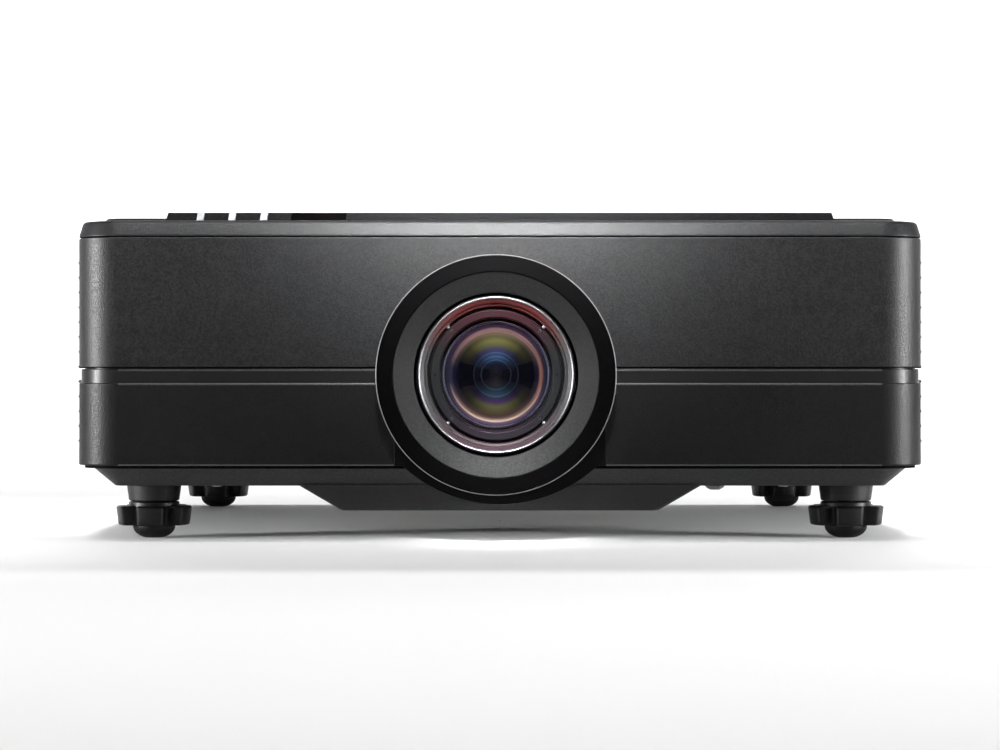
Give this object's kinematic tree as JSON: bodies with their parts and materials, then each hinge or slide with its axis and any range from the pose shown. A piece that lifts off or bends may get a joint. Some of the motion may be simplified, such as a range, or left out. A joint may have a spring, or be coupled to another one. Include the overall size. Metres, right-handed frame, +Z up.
{
  "type": "installation video projector",
  "caption": "Low square laser projector with a large centred lens that shifts, a ring round the lens, a recessed waist, side vents, a rear connector panel and screw feet.",
  "frame": {"origin": "centre of the bounding box in plan, on the ground under the feet", "axes": "-Y is the way the lens looks, +X is on the right seen from the front, +Z is up"},
  "size_m": [0.484, 0.509, 0.185],
  "materials": {
    "casing_black": "dark charcoal, fine texture",
    "tray_black": "matte black",
    "panel_black": "satin black",
    "light_pipe": "milky white diffuser",
    "ir_window": "very dark, glossy",
    "steel": "plated",
    "cast_alloy": "die cast",
    "fin_alloy": "bare",
    "motor_steel": "plated can",
    "rim_metal": "polished",
    "barrel_black": "black anodised",
    "coated_glass": "coated optical glass",
    "board": "circuit board with its parts",
    "button_black": "matte black",
    "knob_black": "moulded black",
    "rubber": "matte",
    "fan_black": "moulded black",
    "foam": "open foam",
    "wheel_mirror": "coated mirror disc"
  },
  "bodies": {
    "casing": {"top_cover": "casing_black", "top_panel": "tray_black", "status_light_pipe": "light_pipe", "front_ir_window": "ir_window", "upper_housing": "casing_black", "waist_band": "casing_black", "lower_housing": "casing_black", "bottom_cover": "tray_black", "lens_surround_panel": "panel_black", "exhaust_grille": "casing_black", "security_bar": "steel", "rear_io_panel": "tray_black", "io_board": "board", "network_sockets": "steel", "power_inlet": "button_black", "lens_mount_frame": "cast_alloy", "optical_engine": "cast_alloy", "laser_module": "fin_alloy", "laser_heat_sink": "fin_alloy", "dmd_board": "board", "main_board": "board", "power_supply": "board", "exhaust_fan_front_frame": "fan_black", "exhaust_fan_rear_frame": "fan_black"},
    "air_filter_unit": {"filter_cover": "casing_black", "air_filter": "foam"},
    "front_left_foot_pad": {"front_left_pad": "rubber"},
    "front_left_foot_knob": {"front_left_knob": "knob_black"},
    "front_right_foot_pad": {"front_right_pad": "rubber"},
    "front_right_foot_knob": {"front_right_knob": "knob_black"},
    "rear_left_foot_pad": {"rear_left_pad": "rubber"},
    "rear_left_foot_knob": {"rear_left_knob": "knob_black"},
    "rear_right_foot_pad": {"rear_right_pad": "rubber"},
    "rear_right_foot_knob": {"rear_right_knob": "knob_black"},
    "vertical_shift": {"vertical_carriage": "cast_alloy"},
    "vertical_screw": {"vertical_shift_screw": "steel"},
    "lens_unit": {"horizontal_carriage": "cast_alloy", "lens_barrel": "barrel_black", "lens_ring": "panel_black", "focus_motor": "motor_steel", "zoom_motor": "motor_steel"},
    "horizontal_screw": {"horizontal_shift_screw": "steel"},
    "front_group": {"front_lens_cell": "rim_metal", "front_lens_element": "coated_glass", "inner_lens_element": "coated_glass"},
    "focus_gear": {"focus_ring": "barrel_black"},
    "zoom_gear": {"zoom_ring": "barrel_black"},
    "focus_motor_pinion": {"focus_pinion": "steel"},
    "zoom_motor_pinion": {"zoom_pinion": "steel"},
    "exhaust_fan_front_blades": {"exhaust_fan_front_rotor": "fan_black"},
    "exhaust_fan_rear_blades": {"exhaust_fan_rear_rotor": "fan_black"},
    "phosphor_wheel_disc": {"phosphor_wheel": "wheel_mirror"},
    "mains_switch": {"power_switch": "button_black"},
    "enter_key": {"enter_button": "button_black"},
    "up_key": {"up_button": "button_black"},
    "down_key": {"down_button": "button_black"},
    "left_key": {"left_button": "button_black"},
    "right_key": {"right_button": "button_black"},
    "power_key": {"power_button": "button_black"},
    "menu_key": {"menu_button": "button_black"}
  },
  "joints": [
    {"name": "filter_unit_pull", "type": "slide", "parent": "casing", "child": "air_filter_unit", "axis": [-1, 0, 0], "range_m": [0, 0.03]},
    {"name": "front_left_foot_lift", "type": "slide", "parent": "casing", "child": "front_left_foot_pad", "axis": [0, 0, -1], "range_m": [0, 0.0105]},
    {"name": "front_left_foot_turn", "type": "hinge", "parent": "front_left_foot_pad", "child": "front_left_foot_knob", "pos_m": [-0.198, -0.1755, 0.0128], "axis": [0, 0, -1], "range_deg": [0, 2520]},
    {"name": "front_right_foot_lift", "type": "slide", "parent": "casing", "child": "front_right_foot_pad", "axis": [0, 0, -1], "range_m": [0, 0.0105]},
    {"name": "front_right_foot_turn", "type": "hinge", "parent": "front_right_foot_pad", "child": "front_right_foot_knob", "pos_m": [0.198, -0.1755, 0.0128], "axis": [0, 0, -1], "range_deg": [0, 2520]},
    {"name": "rear_left_foot_lift", "type": "slide", "parent": "casing", "child": "rear_left_foot_pad", "axis": [0, 0, -1], "range_m": [0, 0.0105]},
    {"name": "rear_left_foot_turn", "type": "hinge", "parent": "rear_left_foot_pad", "child": "rear_left_foot_knob", "pos_m": [-0.198, 0.19, 0.0128], "axis": [0, 0, -1], "range_deg": [0, 2520]},
    {"name": "rear_right_foot_lift", "type": "slide", "parent": "casing", "child": "rear_right_foot_pad", "axis": [0, 0, -1], "range_m": [0, 0.0105]},
    {"name": "rear_right_foot_turn", "type": "hinge", "parent": "rear_right_foot_pad", "child": "rear_right_foot_knob", "pos_m": [0.198, 0.19, 0.0128], "axis": [0, 0, -1], "range_deg": [0, 2520]},
    {"name": "vertical_screw_turn", "type": "hinge", "parent": "casing", "child": "vertical_screw", "pos_m": [0.11, -0.121, 0.093], "axis": [0, 0, 1], "range_deg": [-1620, 1620]},
    {"name": "vertical_lens_shift", "type": "slide", "parent": "casing", "child": "vertical_shift", "axis": [0, 0, 1], "range_m": [-0.0045, 0.0045]},
    {"name": "horizontal_screw_turn", "type": "hinge", "parent": "vertical_shift", "child": "horizontal_screw", "pos_m": [0, -0.132, 0.152], "axis": [1, 0, 0], "range_deg": [-144, 1728]},
    {"name": "horizontal_lens_shift", "type": "slide", "parent": "vertical_shift", "child": "lens_unit", "axis": [1, 0, 0], "range_m": [-0.0004, 0.0048]},
    {"name": "focus_ring_turn", "type": "hinge", "parent": "lens_unit", "child": "focus_gear", "pos_m": [-0.0022, -0.214, 0.093], "axis": [0, 1, 0], "range_deg": [-18, 18]},
    {"name": "focus_travel", "type": "slide", "parent": "lens_unit", "child": "front_group", "axis": [0, -1, 0], "range_m": [-0.002, 0.002]},
    {"name": "focus_pinion_turn", "type": "hinge", "parent": "lens_unit", "child": "focus_motor_pinion", "pos_m": [0.04023, -0.214, 0.13543], "axis": [0, 1, 0], "range_deg": [-90, 90]},
    {"name": "zoom_ring_turn", "type": "hinge", "parent": "lens_unit", "child": "zoom_gear", "pos_m": [-0.0022, -0.184, 0.093], "axis": [0, 1, 0], "range_deg": [-18, 18]},
    {"name": "zoom_pinion_turn", "type": "hinge", "parent": "lens_unit", "child": "zoom_motor_pinion", "pos_m": [-0.04463, -0.184, 0.13543], "axis": [0, 1, 0], "range_deg": [-90, 90]},
    {"name": "exhaust_fan_front_spin", "type": "hinge", "parent": "casing", "child": "exhaust_fan_front_blades", "pos_m": [0.212, -0.124, 0.106], "axis": [1, 0, 0], "continuous": true},
    {"name": "exhaust_fan_rear_spin", "type": "hinge", "parent": "casing", "child": "exhaust_fan_rear_blades", "pos_m": [0.212, -0.022, 0.106], "axis": [1, 0, 0], "continuous": true},
    {"name": "phosphor_wheel_spin", "type": "hinge", "parent": "casing", "child": "phosphor_wheel_disc", "pos_m": [0.06, 0.01, 0.092], "axis": [0, 1, 0], "continuous": true},
    {"name": "mains_switch_rock", "type": "hinge", "parent": "casing", "child": "mains_switch", "pos_m": [0.161, 0.2455, 0.145], "axis": [1, 0, 0], "range_deg": [-16, 0]},
    {"name": "enter_key_press", "type": "slide", "parent": "casing", "child": "enter_key", "axis": [0, -1, 0], "range_m": [0, 0.0012], "stiffness_N_per_m": 600},
    {"name": "up_key_press", "type": "slide", "parent": "casing", "child": "up_key", "axis": [0, -1, 0], "range_m": [0, 0.0012], "stiffness_N_per_m": 600},
    {"name": "down_key_press", "type": "slide", "parent": "casing", "child": "down_key", "axis": [0, -1, 0], "range_m": [0, 0.0012], "stiffness_N_per_m": 600},
    {"name": "left_key_press", "type": "slide", "parent": "casing", "child": "left_key", "axis": [0, -1, 0], "range_m": [0, 0.0012], "stiffness_N_per_m": 600},
    {"name": "right_key_press", "type": "slide", "parent": "casing", "child": "right_key", "axis": [0, -1, 0], "range_m": [0, 0.0012], "stiffness_N_per_m": 600},
    {"name": "power_key_press", "type": "slide", "parent": "casing", "child": "power_key", "axis": [0, -1, 0], "range_m": [0, 0.0012], "stiffness_N_per_m": 600},
    {"name": "menu_key_press", "type": "slide", "parent": "casing", "child": "menu_key", "axis": [0, -1, 0], "range_m": [0, 0.0012], "stiffness_N_per_m": 600}
  ],
  "couplings": [
    {"joint": "front_left_foot_turn", "follows": "front_left_foot_lift", "rad_per_m": 4188.8},
    {"joint": "front_right_foot_turn", "follows": "front_right_foot_lift", "rad_per_m": 4188.8},
    {"joint": "rear_left_foot_turn", "follows": "rear_left_foot_lift", "rad_per_m": 4188.8},
    {"joint": "rear_right_foot_turn", "follows": "rear_right_foot_lift", "rad_per_m": 4188.8},
    {"joint": "vertical_screw_turn", "follows": "vertical_lens_shift", "rad_per_m": 6283.2},
    {"joint": "horizontal_screw_turn", "follows": "horizontal_lens_shift", "rad_per_m": 6283.2},
    {"joint": "focus_ring_turn", "follows": "focus_travel", "rad_per_m": 157.08},
    {"joint": "focus_pinion_turn", "follows": "focus_travel", "rad_per_m": -785.4},
    {"joint": "zoom_pinion_turn", "follows": "zoom_ring_turn", "ratio": -5}
  ]
}
